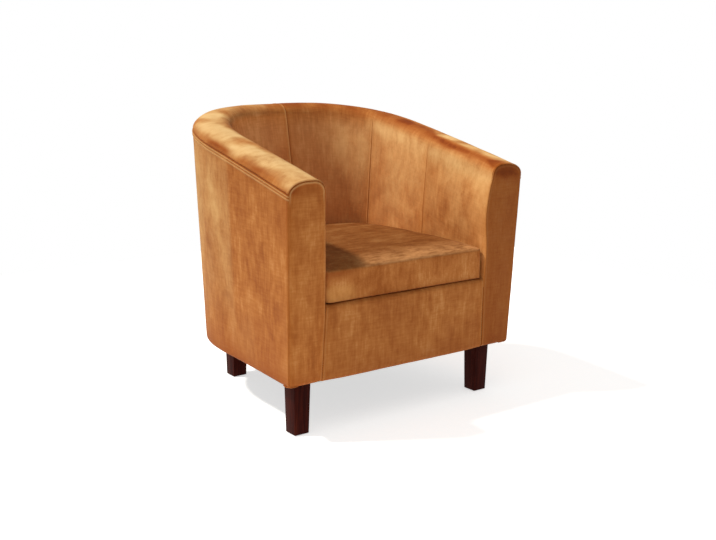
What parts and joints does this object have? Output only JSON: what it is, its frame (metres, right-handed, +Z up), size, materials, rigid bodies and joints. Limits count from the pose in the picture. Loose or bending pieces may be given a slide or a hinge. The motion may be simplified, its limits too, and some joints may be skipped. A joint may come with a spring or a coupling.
{
  "type": "tub armchair",
  "caption": "Upholstered tub armchair with a curved back that runs down into the arms, a loose box seat cushion and square tapered wooden legs.",
  "frame": {"origin": "floor level under the middle of the chair's outline", "axes": "+Z up, the front of the chair looks to -Y, +X to the sitter's left hand, which is the viewer's right from the front"},
  "size_m": [0.714, 0.6652, 0.74],
  "materials": {
    "velvet": "brushed velvet, tan",
    "plywood": "raw plywood",
    "timber": "raw softwood",
    "lining_board": "raw fibreboard",
    "foam": "open cell foam",
    "wadding": "polyester wadding",
    "spring_steel": "drawn wire",
    "zinc_steel": "zinc plated",
    "hessian": "woven hessian",
    "deck_cloth": "plain weave",
    "dust_cloth": "non-woven black cambric",
    "leg_wood": "dark stained, satin lacquer",
    "glide_plastic": "moulded"
  },
  "bodies": {
    "chair": {"lower_ring": "plywood", "seat_ring": "plywood", "front_rail": "timber", "corner_blocks": "timber", "lower_ribs": "plywood", "upper_ribs": "plywood", "arm_front_board_left": "plywood", "arm_front_board_right": "plywood", "arm_top_rail_left": "timber", "arm_top_rail_right": "timber", "back_top_rail": "timber", "outside_lining": "lining_board", "inside_lining": "lining_board", "arm_foam_left": "foam", "arm_foam_right": "foam", "back_foam": "foam", "rail_wadding_left": "wadding", "rail_wadding_right": "wadding", "rail_wadding_back": "wadding", "arm_front_pad_left": "foam", "arm_front_pad_right": "foam", "front_rail_pad": "foam", "outside_cover_left": "velvet", "outside_cover_right": "velvet", "outside_cover_back": "velvet", "arm_cover_left": "velvet", "arm_cover_right": "velvet", "side_cover_left": "velvet", "side_cover_right": "velvet", "back_cover_left": "velvet", "back_cover_right": "velvet", "arm_front_cover_left": "velvet", "arm_front_cover_right": "velvet", "front_rail_cover": "velvet", "seat_springs": "spring_steel", "spring_clips": "spring_steel", "deck_hessian": "hessian", "deck_pad": "wadding", "deck_cloth": "deck_cloth", "dust_cover": "dust_cloth", "front_leg_left": "leg_wood", "front_leg_right": "leg_wood", "back_leg_left": "leg_wood", "back_leg_right": "leg_wood", "hanger_bolts": "zinc_steel", "tee_nuts": "zinc_steel", "leg_glides": "glide_plastic"},
    "seat_cushion": {"cushion_cover": "velvet", "cushion_core": "foam"}
  },
  "joints": [
    {"name": "seat_lift", "type": "slide", "parent": "chair", "child": "seat_cushion", "axis": [0, 0, 1], "range_m": [0, 0.45]}
  ]
}
